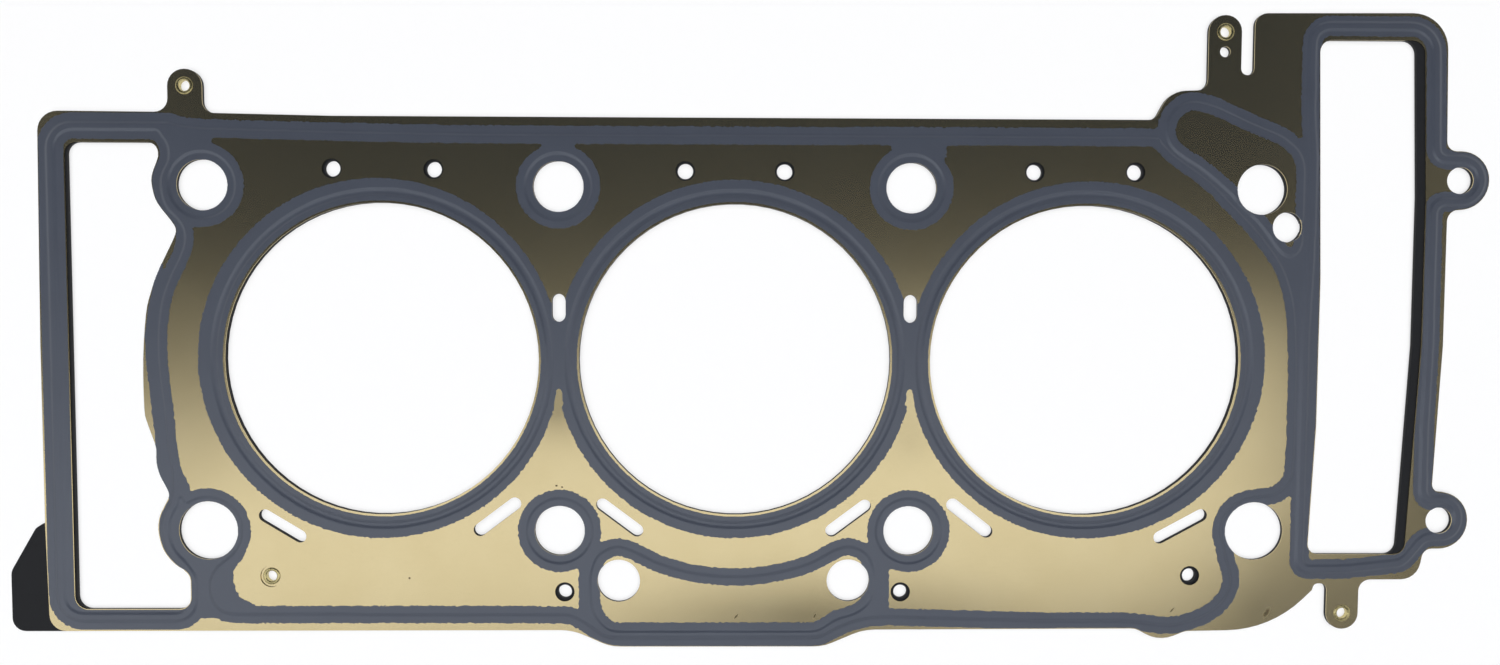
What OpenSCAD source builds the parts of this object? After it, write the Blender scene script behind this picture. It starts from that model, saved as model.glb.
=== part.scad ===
// Multi-layer steel cylinder head gasket for a bank of three cylinders.
// X runs along the row of bores, Y across it, Z through the stack.
// The origin is on the axis of the middle bore, half way through the carrier sheet.
// Two embossed spring-steel sheets face away from each other with a plain carrier sheet between them.

/* [Sheets] */
// Thickness of each embossed spring-steel sheet
sheet_t = 0.25; // [0.2:0.05:0.3]
// Thickness of the plain carrier sheet
carrier_t = 0.7; // [0.5:0.1:1]
// Height that the beads rise above the clamped rim of a sheet
bead_h = 0.3; // [0.2:0.05:0.4]
// Thickness of the printed sealing coat
coat_t = 0.05; // [0.03:0.01:0.08]
// Width of the sloping flank of a bead, seen from above
flank_w = 1.1; // [0.9:0.1:1.3]
// Width of the standing wall that carries a flank
bead_wall = 0.5; // [0.4:0.1:0.6]

/* [Bores] */
// Distance from one bore to the next
bore_pitch = 106; // [105:0.5:107]
// Diameter of the three bores
bore_d = 94; // [93:0.5:95]
// Bore edge to the middle of the round bead's inner flank
bead_gap = 2.5; // [2.2:0.1:3]
// Distance between the two flanks of the round bead
bore_bead_w = 1.5; // [1.2:0.1:2]
// Width of the printed coat about each bore
bore_coat_w = 6.6; // [5.6:0.1:7]

/* [Bolts and lugs] */
// Distance between the two rows of head bolts
bolt_rows = 104; // [103:0.5:105]
// Diameter of the six plain head bolt holes
bolt_d = 15.2; // [14:0.1:16]
// Diameter of the two lower corner holes, which also pass the locating sleeves
dowel_d = 17.8; // [16.8:0.1:18.4]
// Diameter of the hole in each side lug
lug_hole_d = 8.1; // [7:0.1:9]
// Radius of the step about a head bolt hole
bolt_step_r = 9.9; // [9.6:0.1:10.4]
// Radius of the step about a lower corner hole
dowel_step_r = 10.2; // [9.9:0.1:10.6]

/* [Oil and water holes] */
// Diameter of the two oil return holes
oil_d = 13; // [11:0.1:14]
// Diameter of the single extra hole beside the upper right bolt
extra_d = 9.1; // [8:0.1:10]
// Diameter of the small water holes in the upper sheet
water_d = 5.9; // [5.5:0.1:6.5]
// Diameter of the metering holes of the upper row in the sheets below
meter_top_d = 4.7; // [4:0.1:5.2]
// Diameter of the metering holes of the lower row in the sheets below
meter_low_d = 4.1; // [3.5:0.1:5]
// Width of the long water slots
slot_w = 3.9; // [3.4:0.1:4.4]
// Width of the short slots between the bores
bridge_slot_w = 4.2; // [3.6:0.1:4.6]

/* [Chain windows] */
// How far the sheets below stand proud at the outer edge of the right window
right_window_lip = 2.5; // [1:0.1:3.5]
// How far the sheets below stand proud at the outer edge of the left window
left_window_lip = 0.6; // [0.2:0.1:1]

/* [Rivets] */
// Bore of a hollow rivet
rivet_bore_d = 3.2; // [2.8:0.1:3.4]
// Body of a hollow rivet
rivet_body_d = 4; // [3.8:0.1:4.2]
// Rolled rim of a hollow rivet
rivet_rim_d = 5.2; // [4.9:0.1:5.4]
// Height of the rolled rim
rivet_rim_h = 0.22; // [0.15:0.01:0.28]
// Clearance between a rivet and the sheets
rivet_gap = 0.03; // [0.02:0.01:0.06]

/* [Hidden] */

// Centres of the corner bolts, from which the outlines are set out
col = 1.5 * bore_pitch;
row = bolt_rows / 2;
top_left = [-col, row];
top_right = [col, row];
low_left = [-col, -row];
low_right = [col, -row];
low_mid = [0, -row];

// Head bolts between the corners, and the upper left corner bolt
inner_bolts = [
    [-bore_pitch / 2, row], [bore_pitch / 2, row],
    [-bore_pitch / 2, -row], [bore_pitch / 2, -row]
];
bores = [[-bore_pitch, 0], [0, 0], [bore_pitch, 0]];

// Small round features, each set out from its nearest bolt or bore
oil_holes = [low_mid + [-35.2, -15.4], low_mid + [34.7, -15.3]];
extra_hole = top_right + [7.9, -11.3];
lug_holes = [top_right + [60.3, 3], low_right + [57, 3.3]];
tab_hole = top_right + [-12.1, 41.1];
water_top = [
    top_left + [38.7, 5], top_left + [68.9, 4.9], [-15, row + 4.7],
    [14.8, row + 4.7], top_right + [-69, 4.9], top_right + [-38.6, 5]
];
water_low = [low_left + [107.5, -18.7], low_right + [-108.3, -18.7], low_right + [-19.6, -13.7]];
rivet_tl = top_left + [-4.7, 29.3];
rivet_tr = top_right + [-12.1, 47];
rivet_ll = low_left + [18.8, -13.9];
rivet_lr = low_right + [27.9, -25.4];

// Low ring about the rim of a rivet that stands in the raised field
rivet_step = 0.7;

// Printed coat: bare margin at a cut edge, reach to each side of a flank, reach past the outer side
// of a ridge, and how far the print about an outer bore is out of true
coat_margin = 0.6;
coat_side = 2.7;
coat_past = 1.8;
coat_shift = 0.8;

// Narrowest speck that the print keeps, and widest notch that it closes up
coat_speck = 0.4;
coat_notch = 0.6;

// Ridge: half the distance between its flanks, its bend about the lower left bolt, and the widest
// notch that two beads close up
ridge_w = 1.2;
ridge_bend_r = dowel_step_r + 2.7;
closing = 0.3;

// Radii of the bead and the coat about a bore
bead_in = bore_d / 2 + bead_gap;
bead_out = bead_in + bore_bead_w;
coat_in = bore_d / 2 + coat_margin;
coat_out = coat_in + bore_coat_w;

// Levels in the stack
carrier_top = carrier_t / 2;
low_top = carrier_top + sheet_t;
high_top = low_top + bead_h;
reach = 5;

// Tolerance of the straight chords that stand for a round stretch, and facets of a flat round shape
chord = 0.04;
few_facets = 24;
ring_facets = 96;
$fn = 128;

// Points set out from a centre
function near(centre, points) = [for (p = points) [centre.x + p.x, centre.y + p.y, p[2]]];

// Points along an arc
function arc(centre, r, from, to, parts) =
    [for (i = [0:parts]) let (a = from + (to - from) * i / parts) centre + r * [cos(a), sin(a)]];

function turn(a) = a > 180 ? a - 360 : a < -180 ? a + 360 : a;

// One corner b between a and c, rounded to radius r
function corner(a, b, c, r) =
    let (u = (a - b) / norm(a - b))
    let (v = (c - b) / norm(c - b))
    let (half = acos(max(-1, min(1, u * v))) / 2)
    let (centre = b + (u + v) / norm(u + v) * r / sin(half))
    let (p = b + u * r / tan(half) - centre)
    let (q = b + v * r / tan(half) - centre)
    let (sweep = turn(atan2(q.y, q.x) - atan2(p.y, p.x)))
    let (parts = max(1, ceil(abs(sweep) / (2 * acos(1 - chord / r)))))
    arc(centre, r, atan2(p.y, p.x), atan2(p.y, p.x) + sweep, parts);

function flat(p) = [p.x, p.y];

// Closed outline whose third number at a point is the radius of that corner
function rounded(points) =
    let (n = len(points))
    [for (i = [0:n - 1])
        let (b = points[i])
        each (is_num(b[2]) && b[2] > 0
            ? corner(flat(points[(i + n - 1) % n]), flat(b), flat(points[(i + 1) % n]), b[2])
            : [flat(b)])];

// Smooth curve through points, whose first and last ones only set the end directions
function curve(points, parts = 3) =
    [for (i = [1:len(points) - 3])
        let (a = flat(points[i - 1]), b = flat(points[i]), c = flat(points[i + 1]), d = flat(points[i + 2]))
        for (k = [0:parts - (i == len(points) - 3 ? 0 : 1)])
        let (t = k / parts)
        b + (c - a) / 2 * t
            + (2 * a - 5 * b + 4 * c - d) / 2 * t * t
            + (3 * b - a - 3 * c + d) / 2 * t * t * t];

// Smooth closed curve through points
function loop(points) =
    let (n = len(points))
    curve([for (i = [-1:n + 1]) points[(i + n) % n]]);

// Long slot with round ends about a and b
function slot(a, b, w) =
    let (along = atan2(b.y - a.y, b.x - a.x))
    concat(arc(b, w / 2, along - 90, along + 90, 8), arc(a, w / 2, along + 90, along + 270, 8));

// Strip of half width w on both sides of an open line
function side(points, w) =
    [for (i = [0:len(points) - 1])
        let (a = points[max(0, i - 1)], b = points[min(len(points) - 1, i + 1)])
        let (d = (b - a) / norm(b - a))
        points[i] + w * [-d.y, d.x]];
function strip(points, w) =
    let (back = side(points, -w))
    concat(side(points, w), [for (i = [len(back) - 1:-1:0]) back[i]]);

// Edge of the upper sheet, clockwise from the upper left corner
edge = concat(
    near(top_left, [
        [-48.2, 21.7, 6], [-9.7, 21.5, 4], [-9.7, 34.2, 5], [0.5, 34.2, 5], [0.5, 21.3, 3.5], [39, 20.6, 0]
    ]),
    near(top_right, [
        [-33, 20.7, 3], [-28.4, 29.3, 8], [-17.1, 29.7, 3.2], [-17.1, 52, 4.9], [-7.2, 52, 4.9],
        [-7.2, 34.2, 1.9], [-3.2, 34.2, 1.9], [-3.2, 52.6, 3.7], [55.1, 53, 11], [56, 11.8, 3],
        [69.1, 11.8, 8.75], [69.1, -5.8, 8.75], [56.6, -5.8, 3.5], [56.6, -47, 0]
    ]),
    near(low_right, [
        [54.5, 12.1, 2.4], [65.8, 12.1, 8.7], [65.8, -5.4, 8.7], [52.6, -5.4, 3], [50.8, -14.9, 6],
        [32.8, -15, 3.5], [32.8, -30.3, 4.85], [23, -30.3, 4.85], [23, -16.2, 2], [18.9, -16.2, 1.6],
        [18.5, -18.2, 0], [6, -30.5, 34], [-20.4, -31, 5], [-28.4, -34.2, 10],
        [-35.8, -30.2, 5]
    ]),
    near(low_mid, [[39.5, -30.5, 18], [27.3, -35.7, 14], [-37.8, -35.7, 14], [-49.2, -30.6, 18]]),
    near(low_left, [[-48.3, -30.8, 5], [-49, 2, 0]]),
    near(top_left, [[-49, -47, 0]])
);

// Number tab of the carrier at the lower left, which stays blank
number_tab = near(low_left, [
    [-40, 2.6, 0], [-49.5, 2.2, 2], [-52, 0.6, 2], [-59.7, -12.6, 4], [-59.7, -30.9, 4], [-40, -30.9, 0]
]);

// Inner side of the left window, which bends round the two corner bolts
left_window_bends = curve(concat(
    near(top_left, [
        [-12.8, 12], [-12.8, 8.3], [-14.8, 2.7], [-14.6, -1.5], [-13.2, -5.6], [-9.2, -10.9], [-8, -13.3],
        [-8.6, -15.8], [-11.3, -21.3], [-14, -27], [-16, -32.7], [-17.4, -38.7], [-18.5, -52]
    ]),
    near(low_left, [
        [-18.5, 37], [-17.7, 32.7], [-16, 27.7], [-15.2, 25], [-15.2, 21], [-14.3, 17], [-12.4, 13.2],
        [-11.6, 10.7], [-12.8, 8], [-14.5, 4.5], [-15.1, 0.3], [-14.2, -4.5], [-12.5, -7.8], [-10, -10.5],
        [-7.2, -12.3], [-5.8, -14], [-5.5, -16.5], [-5.5, -19]
    ])
));

// Left window, with its outer side moved in by lip
function left_window(lip) = concat(
    near(top_left, [[-40.5 + lip, 12.5, 3.5], [-12.8, 12.5, 3]]),
    left_window_bends,
    near(low_left, [[-5.5, -24.1, 3.8], [-40.5 + lip, -24.1, 4]])
);

// Right window, with its outer side moved in by lip
function right_window(lip) = concat(
    near(top_right, [
        [16.5, 44.8, 3.5], [48.3 - lip, 44.8, 4], [49.9 - lip, -2, 0], [49.9 - lip, -47, 0]
    ]),
    near(low_right, [[46.6 - lip, -7.1, 3.5], [16.6, -7.1, 3], [18.4, 32, 0]]),
    near(top_right, [[18.5, -27, 0]])
);

// Long water slots, two under each bore
water_slots = [
    slot([-bore_pitch - 35.8, 4.6 - row], [-bore_pitch - 25.4, -1.7 - row], slot_w),
    slot([-bore_pitch + 28.9, 0.3 - row], [-bore_pitch + 39.5, 8.3 - row], slot_w),
    slot([-40, 8 - row], [-29.6, 0.2 - row], slot_w),
    slot([29.6, 0.2 - row], [39.6, 7.7 - row], slot_w),
    slot([bore_pitch - 39.6, 8.1 - row], [bore_pitch - 29.2, -0.1 - row], slot_w),
    slot([bore_pitch + 24, -1.9 - row], [bore_pitch + 36.5, 4.9 - row], slot_w)
];

// Short upright slots between the bores
bridge_slots = [for (s = [-1, 1])
    slot([s * bore_pitch / 2, 13.5], [s * bore_pitch / 2, 17.8], bridge_slot_w)];

// Edge of the raised field about the bores, anticlockwise from the upper left bolt
field_edge = concat(
    curve(concat(
        near(top_left, [
            [154, 15], [83, 15.3], [44, 15.8], [17.7, 16.3], [5.8, 16.6], [-0.1, 16.8], [-4.5, 17.2],
            [-7.4, 17.7], [-10.6, 18], [-12.3, 17.2], [-12.2, 15.4], [-10.9, 13.6], [-9.9, 11.7],
            [-9.5, 9.2], [-10, 6.5], [-11.4, 4], [-12.2, 0.5], [-11.6, -4], [-10, -7.4], [-6.1, -11.8],
            [-5.2, -16.5], [-7, -22], [-10, -28], [-12.7, -36], [-13.8, -47]
        ]),
        near(low_left, [[-13.4, 47], [-12.3, 37], [-11.6, 27], [-10.3, 18], [-9.2, 13], [-8, 10]])
    )),
    arc(low_left, dowel_step_r, 130, -58, 20),
    curve(concat(
        near(low_left, [
            [7.5, -6], [5.4, -8.7], [2.4, -11.2], [0.5, -14.5], [0.1, -18], [1.1, -22], [4, -24.9],
            [9, -25.7], [20, -25.7]
        ])
    )),
    curve(near(low_mid, [
        [-60, -25.7], [-51, -25.8], [-45, -28.6], [-40.5, -31.8], [-36, -33], [-20, -33]
    ])),
    curve(near(low_mid, [
        [10, -33], [24, -33], [28, -31.8], [33.5, -29], [40, -27.1], [47, -26.5], [60, -26.5]
    ])),
    curve(near(low_right, [
        [-75, -27.6], [-64, -27.8], [-41, -27.8], [-32, -28.6], [-25, -29.2], [-18.3, -27.6],
        [-13.2, -25.2], [-9, -21.4], [-7, -17], [-7, -13], [-8.4, -8.5], [-10, -4]
    ])),
    arc(low_right, dowel_step_r, 205, 100, 12),
    curve(concat(
        near(low_right, [
            [-2, 10.2], [2.4, 10.6], [6.5, 11.4], [9.8, 14.2], [11.5, 18.5], [11.8, 32], [11.8, 47]
        ]),
        near(top_right, [
            [11.5, -47], [10.6, -36], [8.6, -28], [5.6, -21.5], [0.8, -15], [-4, -9.6], [-9, -4.7],
            [-14, 0.5], [-19, 4.6], [-23.7, 7.8], [-28, 11], [-31, 13.9], [-35.5, 15.5], [-80, 15.3]
        ])
    ))
);

// Edge of the low oil pocket below the middle bore
pocket_edge = concat(
    arc([0, 0], row + 14.2, -111, -69, 10),
    curve(near(low_mid, [
        [23.7, -9.8], [30.5, -6], [35.5, -4.9], [40.2, -7.2], [42.3, -11.6], [42.5, -17], [41.2, -22],
        [37, -25.4], [31, -27.3], [27.3, -29.8], [23.5, -31], [10, -31]
    ])),
    curve(near(low_mid, [
        [-20, -31], [-35, -31], [-39.5, -29.5], [-42.8, -25], [-43.6, -19], [-43.4, -12.5], [-41, -7.4],
        [-36, -5], [-30.8, -6.2], [-23.7, -9.8]
    ]))
);

// Middle line of the ridge round the left window
left_ridge = concat(
    rounded(concat(
        near(top_left, [[2, 11], [-9, 17.3, 4], [-44.6, 17.3, 6.5]]),
        near(low_left, [[-44.6, -26.5, 6.5], [-5.2, -26.5, 5], [-4.8, -14.6, 3], [-7.9, -10.2]])
    )),
    arc(low_left, ridge_bend_r, 231, 142, 9),
    [low_left + [-9.2, 11.5], low_left + [-9.1, 18]]
);

// Edge of the raised chamber about the upper right bolt
chamber_edge = loop(near(top_right, [
    [-25, 25.3], [-22, 26.3], [-19, 25.9], [-14, 24.5], [-4, 20], [5, 16.3], [8, 14.3], [11, 11.5],
    [12.7, 7], [12.8, -2], [12.8, -12], [12.4, -17], [11, -19.4], [8.3, -20.2], [5, -17.7], [2, -13.5],
    [-2, -8.8], [-6, -5.8], [-9, -1.9], [-14, 2.5], [-19, 6.4], [-24, 9.5], [-27.5, 12.3], [-29, 15],
    [-29.4, 18.5], [-28, 22.5]
]));

// Middle line of the ridge round the right window and the two lugs
right_ridge = rounded(concat(
    near(top_right, [
        [14.2, 49, 5], [51.6, 49, 8], [52.8, 9.4, 3], [66.7, 9.4, 6.3], [66.7, -3.4, 6.3],
        [52.2, -3.4, 3.5], [52.4, -47, 0]
    ]),
    near(low_right, [
        [51.7, 33, 0], [51.8, 9.5, 3], [62.8, 9.6, 5], [62.8, -1.4, 5], [52.5, -1.9, 4],
        [46, -9.8, 5], [29, -11.7, 0], [14.2, -11.9, 3], [14.3, 60, 0]
    ]),
    near(top_right, [[15.3, -18, 0], [15.4, 9, 0], [14.3, 24, 0]])
));

// Flat shape of a sheet without its round holes, joined to one outline by the offset of nothing
module sheet_shape(left_lip, right_lip) {
    offset(delta = 0) difference() {
        polygon(rounded(edge));
        polygon(rounded(left_window(left_lip)));
        polygon(rounded(right_window(right_lip)));
        for (s = concat(water_slots, bridge_slots)) polygon(s);
    }
}

// Band along a closed line, from one distance outside it to another inside it
module band(points, outer, inner) {
    difference() {
        offset(r = outer, $fn = few_facets) polygon(points);
        offset(r = -inner, $fn = few_facets) polygon(points);
    }
}

// Flat shape of all that stands at the high level, inside the flanks, grown sideways by more
module raised_shape(more) {
    offset(delta = more - flank_w / 2 - closing) offset(delta = closing) {
        difference() {
            polygon(field_edge);
            polygon(pocket_edge);
        }
        polygon(chamber_edge);
        polygon(strip(left_ridge, ridge_w));
        band(right_ridge, ridge_w, ridge_w);
    }
}

// Round steps in the raised field, a disc at each bolt and rivet and a ring about each bore
module round_steps(more, low, high) {
    grow = more + flank_w / 2;
    for (c = concat([top_left], inner_bolts)) at(c, low) cylinder(r = bolt_step_r + grow, h = high - low);
    at(rivet_ll, low) cylinder(r = rivet_rim_d / 2 + rivet_step + more, h = high - low);
    for (c = bores) at(c, low) difference() {
        cylinder(r = bead_out + grow, h = high - low);
        translate([0, 0, -1]) cylinder(r = bead_in - grow, h = high - low + 2);
    }
}

module at(p, z) {
    translate([p.x, p.y, z]) children();
}

// Raised part of a sheet, from one level up to another
module raised(more, low, high) {
    difference() {
        translate([0, 0, low]) linear_extrude(high - low) raised_shape(more);
        round_steps(-more, low - 1, high + 1);
    }
}

// All round holes that pass through a sheet, with the water holes at their own sizes
module round_holes(upper_d, lower_d) {
    for (c = bores) hole(c, bore_d);
    for (c = concat([top_left, top_right], inner_bolts)) hole(c, bolt_d);
    hole(low_left, dowel_d);
    hole(low_right, dowel_d);
    for (c = oil_holes) hole(c, oil_d);
    hole(extra_hole, extra_d);
    for (c = lug_holes) hole(c, lug_hole_d);
    for (c = water_top) hole(c, upper_d);
    for (c = water_low) hole(c, lower_d);
    hole(tab_hole, rivet_bore_d);
    for (c = [rivet_tl, rivet_tr, rivet_ll, rivet_lr]) hole(c, rivet_body_d + 2 * rivet_gap);
}

module hole(centre, d) {
    at(centre, -reach) cylinder(d = d, h = 2 * reach);
}

// Embossed sheet, made for the upper side and mirrored for the lower one
module embossed_sheet(left_lip, right_lip, upper_d, lower_d) {
    difference() {
        union() {
            translate([0, 0, carrier_top]) linear_extrude(sheet_t) sheet_shape(left_lip, right_lip);
            intersection() {
                raised(0, carrier_top, high_top);
                translate([0, 0, -reach]) linear_extrude(2 * reach) sheet_shape(left_lip, right_lip);
            }
        }
        raised(-bead_wall, carrier_top - 1, high_top - sheet_t);
        round_holes(upper_d, lower_d);
    }
}

module upper_sheet() {
    color("#cbbd92") embossed_sheet(0, 0, water_d, water_d);
}

module lower_sheet() {
    color("#26272b") mirror([0, 0, 1])
        embossed_sheet(left_window_lip, right_window_lip, meter_top_d, meter_low_d);
}

module carrier_sheet() {
    color("#1d1e21") difference() {
        translate([0, 0, -carrier_top]) linear_extrude(carrier_t) union() {
            sheet_shape(left_window_lip, right_window_lip);
            difference() {
                polygon(rounded(number_tab));
                polygon(rounded(left_window(0)));
            }
        }
        round_holes(meter_top_d, meter_low_d);
    }
}

// Patches that fill the coat between bands and rings which the print joins
module coat_patches() {
    translate([-bore_pitch / 2 - 3.5, row + 9]) square([7.5, 7]);
    translate([bore_pitch / 2 - 6.2, row + 9]) square([16.5, 7]);
    for (s = [-1, 1]) translate([s * 44.2 - 3, -row - 24]) square([6, 18]);
    for (s = [-1, 1]) translate([s * bore_pitch / 2 - 4, 6]) square([8, 11]);
    polygon(rounded(concat(
        near(low_right, [[12, -9.5], [16.5, -9.5], [18, 0], [19.5, 32]]),
        near(top_right, [
            [19.5, -27], [17.8, 30], [17, 45], [15, 47], [12, 47], [12, -15], [9, -22], [9, -28], [12, -34]
        ])
    )));
    polygon(curve(near(low_left, [
        [6, -9], [10.7, -7.7], [7.7, -11.7], [7.5, -15.7], [9.3, -20.3], [14, -23.2], [8, -26.4], [0, -26.8],
        [-5, -26], [-1, -16], [2, -9], [10.7, -7.7], [12, -7]
    ])));
}

// Bare steel beside the left window, above the lower left bolt and below the bridge between two bores
module bare_places() {
    translate([-col - 22, -26]) square([5.8, 36]);
    for (s = [-1, 1]) translate([s * bore_pitch / 2, 0])
        polygon([[0, -8.2], [0.8, -9.2], [1.5, -14], [-1.5, -14], [-0.8, -9.2]]);
    polygon(rounded(near(low_left, [[-8, 19.5], [-4, 19.5], [-4, 12], [-5, 12.9]])));
}

// All that the print covers, before its edges are evened
module coat_print() {
    difference() {
        union() {
            for (edge = [field_edge, pocket_edge, chamber_edge]) band(edge, coat_side, coat_side);
            polygon(strip(left_ridge, ridge_w + coat_side));
            band(right_ridge, ridge_w + coat_past, ridge_w + coat_past);
            for (c = bores) difference() {
                translate([c.x + sign(c.x) * coat_shift, 0]) circle(r = coat_out, $fn = ring_facets);
                translate(c) circle(r = coat_in, $fn = ring_facets);
            }
            for (c = concat([top_left], inner_bolts))
                translate(c) circle(r = bolt_step_r + coat_side, $fn = 2 * few_facets);
            translate(low_left) circle(r = dowel_step_r + coat_side, $fn = 2 * few_facets);
            coat_patches();
        }
        bare_places();
    }
}

// Flat shape of the printed coat
module coat_shape() {
    intersection() {
        offset(r = -coat_notch, $fn = few_facets)
            offset(delta = coat_notch + coat_speck)
            offset(delta = -coat_speck)
            coat_print();
        difference() {
            offset(delta = -coat_margin / 2) difference() {
                polygon(rounded(edge));
                polygon(rounded(left_window(0)));
                polygon(rounded(right_window(0)));
            }
            for (s = concat(water_slots, bridge_slots)) polygon(s);
        }
    }
}

module upper_coat() {
    color("#555a67") difference() {
        union() {
            translate([0, 0, low_top]) linear_extrude(coat_t) coat_shape();
            intersection() {
                translate([0, 0, low_top]) linear_extrude(bead_h + coat_t) coat_shape();
                raised(2 * coat_t, low_top - 1, high_top + 1);
            }
        }
        raised(0, low_top - 1, high_top);
        round_holes(water_d, water_d);
    }
}

// Hollow rivet through the three sheets, rolled over on both faces
module rivet(centre) {
    color("#b8ad86") at(centre, 0) rotate_extrude() difference() {
        union() {
            translate([0, -low_top]) square([rivet_body_d / 2, 2 * low_top]);
            for (s = [-1, 1]) intersection() {
                translate([0, s > 0 ? low_top : -low_top - rivet_rim_h])
                    square([rivet_rim_d / 2, rivet_rim_h]);
                translate([rivet_rim_d / 4 + rivet_bore_d / 8, s * (low_top - rivet_rim_h)])
                    circle(r = 2 * rivet_rim_h + 0.3);
            }
            for (s = [-1, 1]) translate([0, s > 0 ? low_top : -low_top - rivet_rim_h / 2])
                square([rivet_rim_d / 2, rivet_rim_h / 2]);
        }
        translate([-1, -reach]) square([rivet_bore_d / 2 + 1, 2 * reach]);
    }
}

module rivet_top_left() { rivet(rivet_tl); }
module rivet_top_right() { rivet(rivet_tr); }
module rivet_lower_left() { rivet(rivet_ll); }
module rivet_lower_right() { rivet(rivet_lr); }

upper_sheet();
upper_coat();
carrier_sheet();
lower_sheet();
rivet_top_left();
rivet_top_right();
rivet_lower_left();
rivet_lower_right();
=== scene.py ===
import math

import bpy
import numpy as np
from mathutils import Matrix, Vector


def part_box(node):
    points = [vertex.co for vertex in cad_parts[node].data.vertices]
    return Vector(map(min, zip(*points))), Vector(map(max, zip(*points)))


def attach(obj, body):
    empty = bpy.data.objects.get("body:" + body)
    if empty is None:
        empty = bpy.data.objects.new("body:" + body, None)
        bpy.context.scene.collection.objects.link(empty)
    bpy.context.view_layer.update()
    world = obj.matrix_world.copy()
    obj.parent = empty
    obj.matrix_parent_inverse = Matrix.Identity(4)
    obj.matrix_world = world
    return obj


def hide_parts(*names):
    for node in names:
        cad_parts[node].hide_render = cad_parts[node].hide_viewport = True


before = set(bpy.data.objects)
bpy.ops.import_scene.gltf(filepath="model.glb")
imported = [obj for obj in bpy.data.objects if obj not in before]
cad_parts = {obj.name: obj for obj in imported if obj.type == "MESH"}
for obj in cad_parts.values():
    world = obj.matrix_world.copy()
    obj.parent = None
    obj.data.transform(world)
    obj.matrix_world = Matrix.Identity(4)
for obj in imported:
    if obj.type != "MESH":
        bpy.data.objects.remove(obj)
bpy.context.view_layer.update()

# Lower sheet: 0.25 mm spring steel stamped like the upper one, but coated dark all over.
# It is embossed downwards and rests on the crests of its beads, and four rivets hold it.
MM = 0.001


def linear(colour):
    """An sRGB hex colour as linear red, green, blue and a full alpha."""
    parts = np.array([int(colour[i:i + 2], 16) for i in (1, 3, 5)]) / 255
    parts = np.where(parts <= 0.04045, parts / 12.92, ((parts + 0.055) / 1.055) ** 2.4)
    return (*parts, 1.0)


def add(tree, kind, inputs, **settings):
    """One node with its own settings. An input is a value, or another node's output to link."""
    made = tree.nodes.new(kind)
    for name, value in settings.items():
        setattr(made, name, value)
    for name, value in inputs.items():
        if isinstance(value, bpy.types.NodeSocket):
            tree.links.new(value, made.inputs[name])
        else:
            made.inputs[name].default_value = value
    return made


def blank_material(name):
    """An empty node material with its output, and the surface point in millimetres."""
    material = bpy.data.materials.new(name)
    material.use_nodes = True
    tree = material.node_tree
    tree.nodes.clear()
    place = add(tree, "ShaderNodeTexCoord", {}).outputs["Object"]
    place = add(tree, "ShaderNodeVectorMath", {0: place, "Scale": 1 / MM},
                operation="SCALE").outputs[0]
    return material, tree, place


def finish_material(tree, shader):
    """Links a shader to a new material output."""
    add(tree, "ShaderNodeOutputMaterial", {"Surface": shader})


def dress(node, material):
    """Gives a carried-over solid its material."""
    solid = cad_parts[node]
    solid.data.materials.clear()
    solid.data.materials.append(material)


# Dark coated spring steel: the eye sees a nearly black sheet edge with a soft sheen. Its tone
# clouds over about 8 mm, and the coat's grain is drawn 0.3 mm wide, coarser than the real one.
sheet_black, tree, place = blank_material("coated_spring_steel_black")
cloud = add(tree, "ShaderNodeTexNoise", {"Vector": place, "Scale": 0.12, "Detail": 3.0}).outputs["Fac"]
tone = add(tree, "ShaderNodeMix", {"Factor": cloud, "A": linear("#16171a"), "B": linear("#232529")},
           data_type="RGBA").outputs["Result"]
grain = add(tree, "ShaderNodeTexNoise", {"Vector": place, "Scale": 3.0, "Detail": 2.0}).outputs["Fac"]
dents = add(tree, "ShaderNodeBump", {
    "Height": grain, "Strength": 0.15, "Distance": 0.01 * MM}).outputs["Normal"]
gloss = add(tree, "ShaderNodeMapRange", {
    "Value": grain, "To Min": 0.38, "To Max": 0.55}).outputs["Result"]
finish_material(tree, add(tree, "ShaderNodeBsdfPrincipled", {
    "Base Color": tone, "Roughness": gloss, "Normal": dents, "IOR": 1.5}).outputs["BSDF"])
dress("lower_sheet", sheet_black)

# Carrier: a flat 0.7 mm sheet between the two embossed ones, phosphated and oiled black.
# It carries the number tab, and its small water holes meter the flow.

# Phosphated steel: the eye sees a dull black, slightly mottled by crystals drawn 0.6 mm wide,
# coarser than the real ones.
carrier_black, tree, place = blank_material("phosphated_carrier_sheet")
fleck = add(tree, "ShaderNodeTexNoise", {"Vector": place, "Scale": 1.6, "Detail": 4.0}).outputs["Fac"]
tone = add(tree, "ShaderNodeMix", {"Factor": fleck, "A": linear("#101113"), "B": linear("#1e1f22")},
           data_type="RGBA").outputs["Result"]
gloss = add(tree, "ShaderNodeMapRange", {
    "Value": fleck, "To Min": 0.55, "To Max": 0.7}).outputs["Result"]
dents = add(tree, "ShaderNodeBump", {
    "Height": fleck, "Strength": 0.2, "Distance": 0.02 * MM}).outputs["Normal"]
finish_material(tree, add(tree, "ShaderNodeBsdfPrincipled", {
    "Base Color": tone, "Roughness": gloss, "Normal": dents, "IOR": 1.5,
    "Specular IOR Level": 0.3}).outputs["BSDF"])
dress("carrier_sheet", carrier_black)

# Upper sheet: 0.25 mm rolled spring steel, stamped with all openings and embossed upwards.
# Where no coat is printed it is bare, with the faint yellow cast of its passivation.

# Half the depth of a mark in millimetres, so deep that the sheet's thickness doesn't count
MARK_DEPTH = 50


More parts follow.
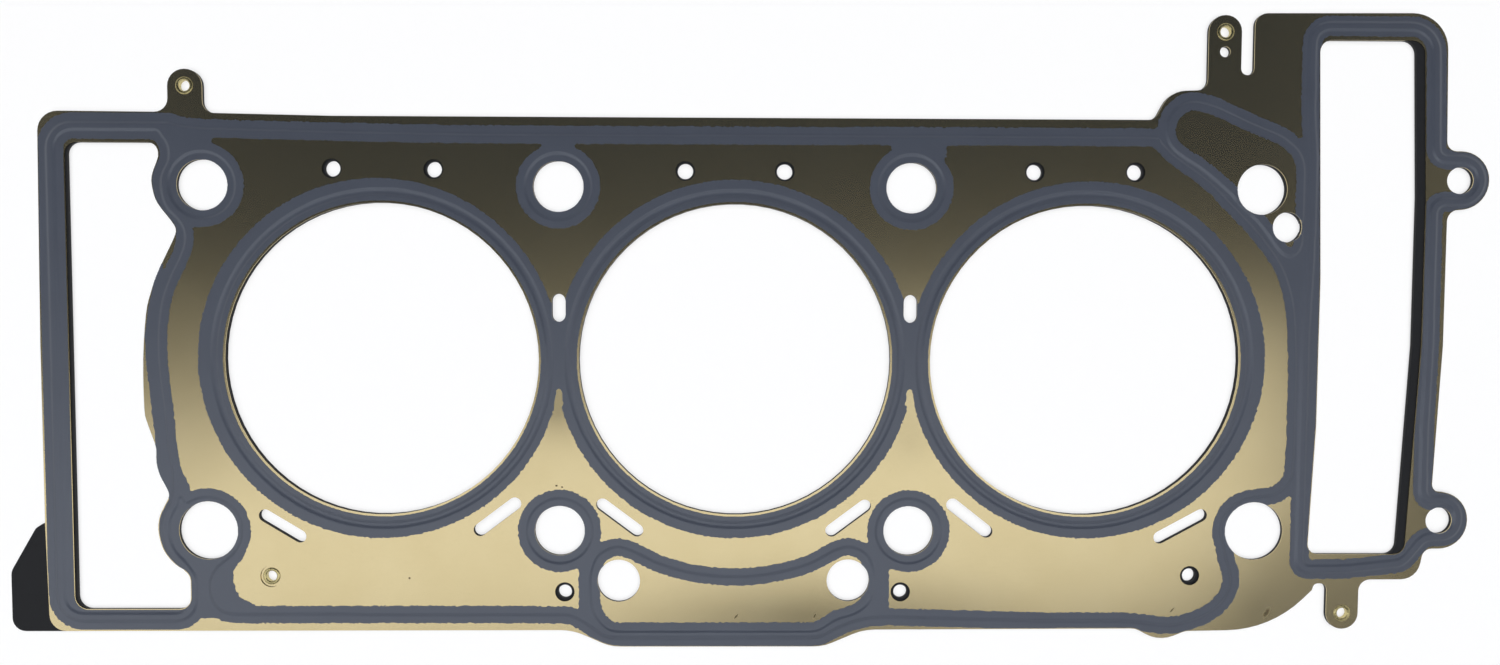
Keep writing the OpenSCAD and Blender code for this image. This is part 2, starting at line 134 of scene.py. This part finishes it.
def mark(tree, place, centre, size, lean):
    """A soft oval mark on the upper face as a mask, 1 in its middle and falling evenly to 0 at its
    rim, from its centre and half sizes in millimetres and its lean in degrees."""
    spot = add(tree, "ShaderNodeMapping", {
        "Vector": place, "Location": (*centre, 0), "Rotation": (0, 0, math.radians(lean)),
        "Scale": (*size, MARK_DEPTH)}, vector_type="TEXTURE").outputs["Vector"]
    return add(tree, "ShaderNodeTexGradient", {"Vector": spot},
               gradient_type="SPHERICAL").outputs["Fac"]


# Bare rolled steel: the eye sees a warm mirror, blurred by fine rolling marks. It is gold where it
# mirrors the softbox and nearly black where it mirrors the room, and it has a few stains. Its tone
# clouds over 20 mm, and its specks are 0.8 mm wide.
bare_steel, tree, place = blank_material("rolled_spring_steel")
cloud = add(tree, "ShaderNodeTexNoise", {"Vector": place, "Scale": 0.05, "Detail": 2.0}).outputs["Fac"]
tone = add(tree, "ShaderNodeMix", {"Factor": cloud, "A": linear("#c8b88d"), "B": linear("#d0c198")},
           data_type="RGBA").outputs["Result"]
speckle = add(tree, "ShaderNodeTexNoise", {
    "Vector": place, "Scale": 1.3, "Detail": 4.0}).outputs["Fac"]
fleck = add(tree, "ShaderNodeMapRange", {
    "Value": speckle, "From Min": 0.62, "From Max": 0.8, "To Max": 0.35}).outputs["Result"]
tone = add(tree, "ShaderNodeMix", {"Factor": fleck, "A": tone, "B": linear("#a89a74")},
           data_type="RGBA").outputs["Result"]
# Stains, each with its centre, half sizes and lean: one on the lower right lobe, ticks along the
# lower edge, and dots above the lower left inner bolt.
stain = None
for centre, size, lean in (((163.6, -77.3), (2.5, 1.0), 58), ((134.2, -76.4), (1.3, 0.3), 48),
                           ((0.6, -78.4), (1.3, 0.45), 52), ((24.6, -78.3), (1.2, 0.35), 66),
                           ((-53.9, -38.2), (0.5, 0.4), 0), ((-52.2, -38.6), (0.4, 0.35), 0),
                           ((-98.5, -66.5), (0.5, 0.45), 20), ((-125.5, -77.0), (0.45, 0.35), 70)):
    spot = mark(tree, place, centre, size, lean)
    stain = spot if stain is None else add(
        tree, "ShaderNodeMath", {0: stain, 1: spot}, operation="MAXIMUM").outputs["Value"]
ragged = add(tree, "ShaderNodeTexNoise", {
    "Vector": place, "Scale": 2.2, "Detail": 3.0}).outputs["Fac"]
stain = add(tree, "ShaderNodeMath", {0: stain, 1: ragged}, operation="MULTIPLY").outputs["Value"]
stain = add(tree, "ShaderNodeMapRange", {
    "Value": stain, "From Min": 0.08, "From Max": 0.34, "To Max": 0.55}).outputs["Result"]
tone = add(tree, "ShaderNodeMix", {"Factor": stain, "A": tone, "B": linear("#5a4c3c")},
           data_type="RGBA").outputs["Result"]
# Rolling marks run along X, about 3 mm long and a quarter of a millimetre wide. The real ones
# are finer and are drawn as coarse as they need to be to show.
rolled = add(tree, "ShaderNodeMapping", {
    "Vector": place, "Scale": (0.35, 4.0, 1.0)}).outputs["Vector"]
streak = add(tree, "ShaderNodeTexNoise", {
    "Vector": rolled, "Scale": 1.0, "Detail": 3.0}).outputs["Fac"]
gloss = add(tree, "ShaderNodeMapRange", {
    "Value": streak, "To Min": 0.2, "To Max": 0.26}).outputs["Result"]
gloss = add(tree, "ShaderNodeMath", {0: gloss, 1: stain},
            operation="ADD", use_clamp=True).outputs["Value"]
facing = add(tree, "ShaderNodeBump", {
    "Height": streak, "Strength": 0.03, "Distance": 0.01 * MM}).outputs["Normal"]
# The thin sheet isn't dead flat. It leans by 1.1 to 2.6 degrees in six places, which moves the
# softbox's reflection: a row is a place, its half sizes and the lean of the normal in its middle.
for centre, size, lean in (((-165, 20), (40, 32), (0, -0.022, 0)),
                           ((-164, -38), (30, 28), (0, 0.02, 0)),
                           ((-53, -16), (14, 14), (0, 0.03, 0)),
                           ((53, -26), (14, 14), (0, 0.03, 0)),
                           ((22, -78), (75, 22), (0, -0.045, 0)),
                           ((160, -76), (42, 36), (0.042, 0, 0))):
    share = mark(tree, place, centre, size, 0)
    lean = add(tree, "ShaderNodeVectorMath", {0: lean, "Scale": share}, operation="SCALE").outputs[0]
    facing = add(tree, "ShaderNodeVectorMath", {0: facing, 1: lean}, operation="ADD").outputs[0]
facing = add(tree, "ShaderNodeVectorMath", {0: facing}, operation="NORMALIZE").outputs[0]
finish_material(tree, add(tree, "ShaderNodeBsdfPrincipled", {
    "Base Color": tone, "Metallic": 1.0, "Roughness": gloss, "Normal": facing}).outputs["BSDF"])
dress("upper_sheet", bare_steel)

# Printed coat: a film of slate-grey rubber, screen printed along every bead and cured.
# It follows the rounded beads, so it is a surface over the solids with sloped flanks.

# Level of the sheet's low face, thickness of its steel, height of its beads and thickness of
# the film, in millimetres
LOW_TOP, GAUGE, BEAD_HEIGHT, FILM = 0.60, 0.25, 0.30, 0.05
# Width of a bead's flank, step of the grid on which the film is worked out, and steps to a face
FLANK, RASTER, CELL = 1.2, 0.15, 2
# Bare margin of the grid round the sheet
MARGIN = 3
# Half the widest notch that is filled in the raised steel and in the print
STEEL_NOTCH, PRINT_NOTCH = 0.6, 0.4
# Radii over which the print's outline and a cut edge of the sheet are evened
PRINT_EVEN, EDGE_EVEN = 0.45, 0.3
# Most that the fray adds to the outline field, which goes from 0.5 in the print to -0.5 beside it
FRAY = 0.28
# Reach of the left wing along Y
WING_FOOT, WING_HEAD = -42, 30


def triangles(node):
    """A solid's triangles as an array of corners in millimetres."""
    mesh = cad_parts[node].data
    mesh.calc_loop_triangles()
    points = np.zeros(len(mesh.vertices) * 3)
    mesh.vertices.foreach_get("co", points)
    corners = np.zeros(len(mesh.loop_triangles) * 3, int)
    mesh.loop_triangles.foreach_get("vertices", corners)
    return points.reshape(-1, 3)[corners].reshape(-1, 3, 3) / MM


def section(corners, level):
    """Segments in which a level plane cuts triangles: each cut triangle has two crossed sides,
    and a side is crossed in proportion to the heights of its ends."""
    height = corners[:, :, 2] - level
    after = np.roll(height, -1, axis=1)
    crossed = (height > 0) != (after > 0)
    share = np.where(crossed, height / np.where(crossed, height - after, 1), 0)
    side = np.roll(corners, -1, axis=1) - corners
    points = corners[:, :, :2] + share[..., None] * side[:, :, :2]
    return points[crossed].reshape(-1, 2, 2)


def inside(segments, across, along):
    """Grid points inside a section: a point is in where an odd number of segments of its row lie
    to its left."""
    low, high = segments[:, :, 1].min(1), segments[:, :, 1].max(1)
    first, last = np.searchsorted(along, low), np.searchsorted(along, high)
    count = last - first
    which = np.repeat(np.arange(len(segments)), count)
    row = np.arange(len(which)) + np.repeat(first - np.cumsum(count) + count, count)
    start, end = segments[which, 0], segments[which, 1]
    lean = end - start
    crossing = start[:, 0] + (along[row] - start[:, 1]) * lean[:, 0] / lean[:, 1]
    hits = np.zeros((len(along), len(across) + 1), int)
    np.add.at(hits, (row, np.searchsorted(across, crossing)), 1)
    return np.cumsum(hits, axis=1)[:, :-1] % 2 == 1


def spread(field, radius):
    """Mean of a field over a disc round each grid point, by a product of Fourier transforms."""
    rows, columns = field.shape
    up = np.minimum(np.arange(rows), rows - np.arange(rows))[:, None] * RASTER
    right = np.minimum(np.arange(columns), columns - np.arange(columns))[None, :] * RASTER
    disc = np.clip((radius - np.hypot(up, right)) / RASTER + 0.5, 0, 1)
    spectrum = np.fft.rfft2(field.astype(float)) * np.fft.rfft2(disc / disc.sum())
    return np.fft.irfft2(spectrum, field.shape)


def closed(area, radius):
    """An area with its notches and slits narrower than twice the radius filled: it is grown, then
    shrunk."""
    grown = spread(area, radius) > 0.01
    return area | (spread(~grown, radius) < 0.01)


# The grid is set off by odd amounts, so that no row of it runs through a corner of the solids.
low_corner, high_corner = (np.array(corner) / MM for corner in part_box("upper_sheet"))
across = np.arange(low_corner[0] - MARGIN, high_corner[0] + MARGIN, RASTER) + 0.0137
along = np.arange(low_corner[1] - MARGIN, high_corner[1] + MARGIN, RASTER) + 0.0119
sheet, film = triangles("upper_sheet"), triangles("upper_coat")
raised = inside(section(sheet, LOW_TOP + BEAD_HEIGHT / 2), across, along)
raised = closed(raised, STEEL_NOTCH)
steel = raised | inside(section(sheet, LOW_TOP - GAUGE / 2), across, along)
coated = inside(section(film, LOW_TOP + FILM / 2), across, along)
coated |= inside(section(film, LOW_TOP + BEAD_HEIGHT + FILM / 2), across, along)
coated = closed(coated, PRINT_NOTCH)
# On the left wing the print runs out to the sheet's edge, or to a worn line just inside it. It
# joins the print of the beads on the right.
print_edge = np.interp(along, (-26.3, -26.2, -21.1, -12.6, -3.8, 0, 6.8, 15.2, 23.6),
                       (-180, -174.3, -174.7, -175.6, -176.3, -176.7, -176.8, -175.7, -173.5))
print_end = np.interp(along, (WING_FOOT, -30), (-168, -171))
wing = (across > print_edge[:, None]) & (across < print_end[:, None])
wing &= ((along > WING_FOOT) & (along < WING_HEAD))[:, None]
coated |= steel & wing


def share_of_steel(area, radius):
    """Share of the steel in a disc that an area takes up: one mean divided by the other."""
    return spread(area, radius) / np.maximum(spread(steel, radius), 0.02)


# From the low face to the top of a bead the film rises by the smooth step 3 t^2 - 2 t^3, where t
# is twice the share of raised steel. It stays 0.002 mm under the solid film's own top.
flank = np.clip(2 * share_of_steel(raised, FLANK), 0, 1)
height = LOW_TOP + FILM - 0.002 + BEAD_HEIGHT * flank * flank * (3 - 2 * flank)
# At sharp corners of the raised steel that share is low, so the film is lifted over them.
tips = raised & (height < LOW_TOP + BEAD_HEIGHT + 0.01)
lifted = spread(tips, EDGE_EVEN) > 0.02
height = np.maximum(height, np.where(lifted, LOW_TOP + BEAD_HEIGHT + FILM / 2, 0))
# The outline is where this field is 0: the evened print, frayed, and never past the steel. The
# fray dies out near the sheet's own edges.
fray = 0.6 * spread(np.random.default_rng(11).normal(size=coated.shape), EDGE_EVEN)
fray = np.clip(fray, -FRAY, FRAY) * np.clip(4 * spread(steel, FLANK) - 3, 0, 1)
outline = share_of_steel(coated, PRINT_EVEN) - 0.5 + fray
outline = np.minimum(outline, spread(steel, EDGE_EVEN) - 0.5)
outline_slope_y, outline_slope_x = np.gradient(outline, RASTER)
height_slope_y, height_slope_x = np.gradient(height, RASTER)


def skin(name, points, faces):
    """A smooth surface from points in millimetres and faces of four corners each."""
    mesh = bpy.data.meshes.new(name)
    mesh.vertices.add(len(points))
    mesh.vertices.foreach_set("co", (points * MM).ravel())
    mesh.loops.add(faces.size)
    mesh.loops.foreach_set("vertex_index", faces.ravel())
    mesh.polygons.add(len(faces))
    mesh.polygons.foreach_set("loop_start", np.arange(len(faces)) * 4)
    mesh.update()
    mesh.validate()
    mesh.shade_smooth()
    piece = bpy.data.objects.new(name, mesh)
    bpy.context.collection.objects.link(piece)
    return piece


def coat_piece(name, columns):
    """Part of the film over some of the grid's columns. Faces whose middle is inside the outline
    are kept. Border points move along the outline field's slope until they are on it, by at most
    0.7 of a face, and a skirt goes down from them to the sheet."""
    rows = np.arange(0, len(along) - CELL, CELL)
    part = np.ix_(rows, columns)
    y, x = np.meshgrid(along[rows], across[columns], indexing="ij")
    field, slope_x, slope_y = outline[part], outline_slope_x[part], outline_slope_y[part]
    number = np.arange(field.size).reshape(field.shape)
    quads = np.stack([number[:-1, :-1], number[:-1, 1:], number[1:, 1:], number[1:, :-1]], -1)
    middle = (field[1:, 1:] + field[1:, :-1] + field[:-1, 1:] + field[:-1, :-1]) / 4
    quads = quads[middle > 0]
    # A side that only one face has is a border. Its ends move, save along a seam.
    sides = np.stack([quads, np.roll(quads, -1, axis=1)], -1).reshape(-1, 2)
    key = np.sort(sides, axis=1) @ np.array([field.size, 1])
    key, first, times = np.unique(key, return_index=True, return_counts=True)
    border = sides[first[times == 1]]
    rim = np.zeros(field.size, bool)
    rim[border.ravel()] = True
    rim = rim.reshape(field.shape)
    rim[:, [0, -1]] = False
    steep = np.maximum(slope_x ** 2 + slope_y ** 2, 1e-6)
    reach = RASTER * CELL * 0.7
    x -= np.where(rim, np.clip(field * slope_x / steep, -reach, reach), 0)
    y -= np.where(rim, np.clip(field * slope_y / steep, -reach, reach), 0)
    points = np.stack([x, y, height[part]], -1).reshape(-1, 3)
    # The film's normals come from its slope, and those of the skirt point away from the film.
    normals = np.stack([-height_slope_x[part], -height_slope_y[part], np.ones_like(x)], -1)
    normals = normals.reshape(-1, 3)
    normals /= np.linalg.norm(normals, axis=1, keepdims=True)
    used, quads = np.unique(quads, return_inverse=True)
    quads = quads.reshape(-1, 4)
    border = np.searchsorted(used, border)
    points, normals = points[used], normals[used]
    top = points[border.ravel()]
    foot = np.column_stack([top[:, :2], np.full(len(top), LOW_TOP)])
    ends = len(points) + np.arange(len(top)).reshape(-1, 2)
    skirt = np.column_stack([ends[:, ::-1], ends + len(top)])
    run = top[1::2] - top[::2]
    away = np.column_stack([run[:, 1], -run[:, 0], np.zeros(len(run))])
    away /= np.maximum(np.linalg.norm(away, axis=1, keepdims=True), 1e-9)
    away = np.repeat(away, 2, axis=0)
    piece = skin(name, np.concatenate([points, top, foot]), np.concatenate([quads, skirt]))
    piece.data.normals_split_custom_set_from_vertices(np.concatenate([normals, away, away]))
    return piece


# Cured rubber film: the eye sees an even slate grey with a satin sheen. Its tone clouds over
# 12 mm, and the print screen's texture is drawn 0.4 mm wide, coarser than the real one.
coat_rubber, tree, place = blank_material("screen_printed_rubber")
cloud = add(tree, "ShaderNodeTexNoise", {"Vector": place, "Scale": 0.08, "Detail": 3.0}).outputs["Fac"]
tone = add(tree, "ShaderNodeMix", {"Factor": cloud, "A": linear("#272b37"), "B": linear("#2d323e")},
           data_type="RGBA").outputs["Result"]
grain = add(tree, "ShaderNodeTexNoise", {"Vector": place, "Scale": 2.5, "Detail": 2.0}).outputs["Fac"]
gloss = add(tree, "ShaderNodeMapRange", {
    "Value": grain, "To Min": 0.5, "To Max": 0.56}).outputs["Result"]
dents = add(tree, "ShaderNodeBump", {
    "Height": grain, "Strength": 0.12, "Distance": 0.02 * MM}).outputs["Normal"]
finish_material(tree, add(tree, "ShaderNodeBsdfPrincipled", {
    "Base Color": tone, "Roughness": gloss, "Normal": dents, "IOR": 1.7,
    "Specular IOR Level": 1.0, "Specular Tint": linear("#e8f2ff"), "Coat Weight": 0.6,
    "Coat Roughness": 0.3}).outputs["BSDF"])

thirds = [0, len(across) // 3 // CELL * CELL, 2 * len(across) // 3 // CELL * CELL, len(across)]
for name, start, end in zip(("coat_left", "coat_middle", "coat_right"), thirds, thirds[1:]):
    piece = coat_piece(name, np.arange(len(across))[start:end + 1:CELL])
    piece.data.materials.append(coat_rubber)
    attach(piece, "root")
    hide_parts("upper_coat")

# Rivets: four hollow steel rivets, yellow passivated, rolled over on both faces.
# They hold the three sheets together until the gasket is clamped.

# Radii of the bore and the body, and width and height of a rolled lip, in millimetres
BORE, BODY, LIP_WIDTH, LIP_HEIGHT = 1.6, 2.0, 1.0, 0.21
# Points over a lip and round the rivet, and the angle above which an edge is sharp
LIP_POINTS, ROUND_POINTS, SHARP = 17, 96, math.radians(50)

# Passivated steel: the eye sees a pale yellow metal with soft highlights, slightly worn in
# patches about 0.9 mm wide.
rivet_steel, tree, place = blank_material("passivated_rivet_steel")
wear = add(tree, "ShaderNodeTexNoise", {"Vector": place, "Scale": 1.1, "Detail": 3.0}).outputs["Fac"]
tone = add(tree, "ShaderNodeMix", {"Factor": wear, "A": linear("#b3a572"), "B": linear("#d9cd98")},
           data_type="RGBA").outputs["Result"]
gloss = add(tree, "ShaderNodeMapRange", {
    "Value": wear, "To Min": 0.2, "To Max": 0.35}).outputs["Result"]
finish_material(tree, add(tree, "ShaderNodeBsdfPrincipled", {
    "Base Color": tone, "Metallic": 1.0, "Roughness": gloss}).outputs["BSDF"])


def rolled_rivet(name, centre):
    """A hollow rivet turned about its axis. Its profile runs up the body, over the upper lip, down
    the bore and under the lower lip, and each lip is half an ellipse."""
    over = np.linspace(0, math.pi, LIP_POINTS)
    lip = BORE + LIP_WIDTH / 2 * (1 + np.cos(over))
    radius = np.concatenate([[BODY, BODY], lip, lip[::-1]])
    level = np.concatenate([[-LOW_TOP, LOW_TOP], LOW_TOP + LIP_HEIGHT * np.sin(over),
                            -LOW_TOP - LIP_HEIGHT * np.sin(over)])
    angle = np.linspace(0, 2 * math.pi, ROUND_POINTS, endpoint=False)[:, None]
    points = np.stack([np.cos(angle) * radius + centre[0], np.sin(angle) * radius + centre[1],
                       np.broadcast_to(level, (ROUND_POINTS, len(level)))], -1)
    number = np.arange(ROUND_POINTS * len(level)).reshape(ROUND_POINTS, len(level))
    turned = np.roll(number, -1, axis=0)
    quads = np.stack([number, turned, np.roll(turned, -1, axis=1), np.roll(number, -1, axis=1)], -1)
    piece = skin(name, points.reshape(-1, 3), quads.reshape(-1, 4))
    piece.data.set_sharp_from_angle(angle=SHARP)
    return piece


for node in ("rivet_top_left", "rivet_top_right", "rivet_lower_left", "rivet_lower_right"):
    piece = rolled_rivet("rolled_" + node, np.mean(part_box(node), axis=0) / MM)
    piece.data.materials.append(rivet_steel)
    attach(piece, "root")
    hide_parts(node)

# Studio: a plain white table that curves up to a backdrop, a softbox over the near side, which
# the steel mirrors, and a broad fill above it that only lights dull surfaces.

# White card: the eye sees an even white floor with the object's soft shadow. The camera, mirrors
# and glass see GLOW of it as plain white, and the rest is lit by the lamps.
GLOW = 0.6
table_card, tree, place = blank_material("matt_white_card")
path = add(tree, "ShaderNodeLightPath", {})
seen = add(tree, "ShaderNodeMath", {
    0: path.outputs["Is Camera Ray"], 1: path.outputs["Is Glossy Ray"]},
           operation="MAXIMUM").outputs["Value"]
seen = add(tree, "ShaderNodeMath", {0: seen, 1: path.outputs["Is Transmission Ray"]},
           operation="MAXIMUM").outputs["Value"]
share = add(tree, "ShaderNodeMath", {0: seen, 1: GLOW}, operation="MULTIPLY").outputs["Value"]
paper = add(tree, "ShaderNodeBsdfDiffuse", {"Color": linear("#f8f8f8")}).outputs["BSDF"]
white = add(tree, "ShaderNodeEmission", {"Color": (1, 1, 1, 1), "Strength": 1.0}).outputs["Emission"]
finish_material(tree, add(tree, "ShaderNodeMixShader", {
    0: share, 1: paper, 2: white}).outputs["Shader"])

# Reach of the flat floor, radius of the round and height of the wall, in millimetres, and the
# number of lines that make the round
FLOOR, ROUND, WALL, ROUND_LINES = 6000, 2000, 8000, 13


def backdrop(name, level):
    """A square tray: a flat floor, a quarter round, then a wall. Its grid lines stand at the
    profile's run, and a point is as high as the rise of the outer of its two lines."""
    bend = np.linspace(0, math.pi / 2, ROUND_LINES)
    run = np.append(FLOOR + ROUND * np.sin(bend), FLOOR + ROUND)
    rise = np.append(ROUND - ROUND * np.cos(bend), WALL)
    line, lift = np.concatenate([-run[::-1], run]), np.concatenate([rise[::-1], rise])
    x, y = np.meshgrid(line, line, indexing="ij")
    points = np.stack([x, y, level + np.maximum.outer(lift, lift)], -1)
    number = np.arange(x.size).reshape(x.shape)
    quads = np.stack([number[:-1, :-1], number[1:, :-1], number[1:, 1:], number[:-1, 1:]], -1)
    return skin(name, points.reshape(-1, 3), quads.reshape(-1, 4))


# The table lies 0.01 mm under the crests of the lower sheet, so that the two don't touch.
table = backdrop("table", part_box("lower_sheet")[0][2] / MM - 0.01)
table.data.materials.append(table_card)


def soft_lamp(name, size, radiance, place, turn):
    """An even rectangular lamp that faces down, turned about the upright axis. Its power is its
    radiance times pi times its area, all in metres."""
    panel = bpy.data.lights.new(name, "AREA")
    panel.shape = "RECTANGLE"
    panel.size, panel.size_y = size
    panel.energy = radiance * math.pi * panel.size * panel.size_y
    lamp = bpy.data.objects.new(name, panel)
    lamp.location = place
    lamp.rotation_euler = (0, 0, turn)
    bpy.context.collection.objects.link(lamp)
    return lamp


soft_lamp("softbox", size=(2.84, 0.58), radiance=1.3, place=(-0.29, -0.429, 1.5),
          turn=math.radians(4.9))
fill = soft_lamp("fill", size=(4.0, 4.0), radiance=1.6, place=(0, 0, 2.2), turn=0)
fill.visible_glossy = False

# The room over the backdrop's wall is dim and bluish, and the upper half of the sheet mirrors it.
room = bpy.data.worlds.new("room")
bpy.context.scene.world = room
room.use_nodes = True
tree = room.node_tree
tree.nodes.clear()
dim = add(tree, "ShaderNodeBackground", {"Color": linear("#3c424f"), "Strength": 1.0})
add(tree, "ShaderNodeOutputWorld", {"Surface": dim.outputs["Background"]})

# Camera: it stands 272 mm over the upper sheet and looks down, tipped by about two degrees, as
# worked out from the photo. EYE_TURN turns the world's axes to the eye's: it is an axis as long
# as its angle in degrees. EYE_FROM_BEADS is the way to the eye from the point over the origin at
# the beads' tops, along the eye's own axes and in millimetres.
EYE_TURN, EYE_FROM_BEADS = (2.15, 0.61, -0.18), (4.58, 8.39, 271.65)
eye = bpy.data.cameras.new("eye")
eye.sensor_width, eye.lens = 36.0, 21.6
eye.clip_start = 0.01
turn = Vector([math.radians(part) for part in EYE_TURN])
from_eye = Matrix.Rotation(turn.length, 4, turn.normalized()).transposed()
stand = (from_eye @ Vector(EYE_FROM_BEADS) + Vector((0, 0, LOW_TOP + BEAD_HEIGHT))) * MM
eye_object = bpy.data.objects.new("eye", eye)
eye_object.matrix_world = Matrix.Translation(stand) @ from_eye
bpy.context.collection.objects.link(eye_object)
bpy.context.scene.camera = eye_object

bpy.context.scene.view_settings.view_transform = "Standard"
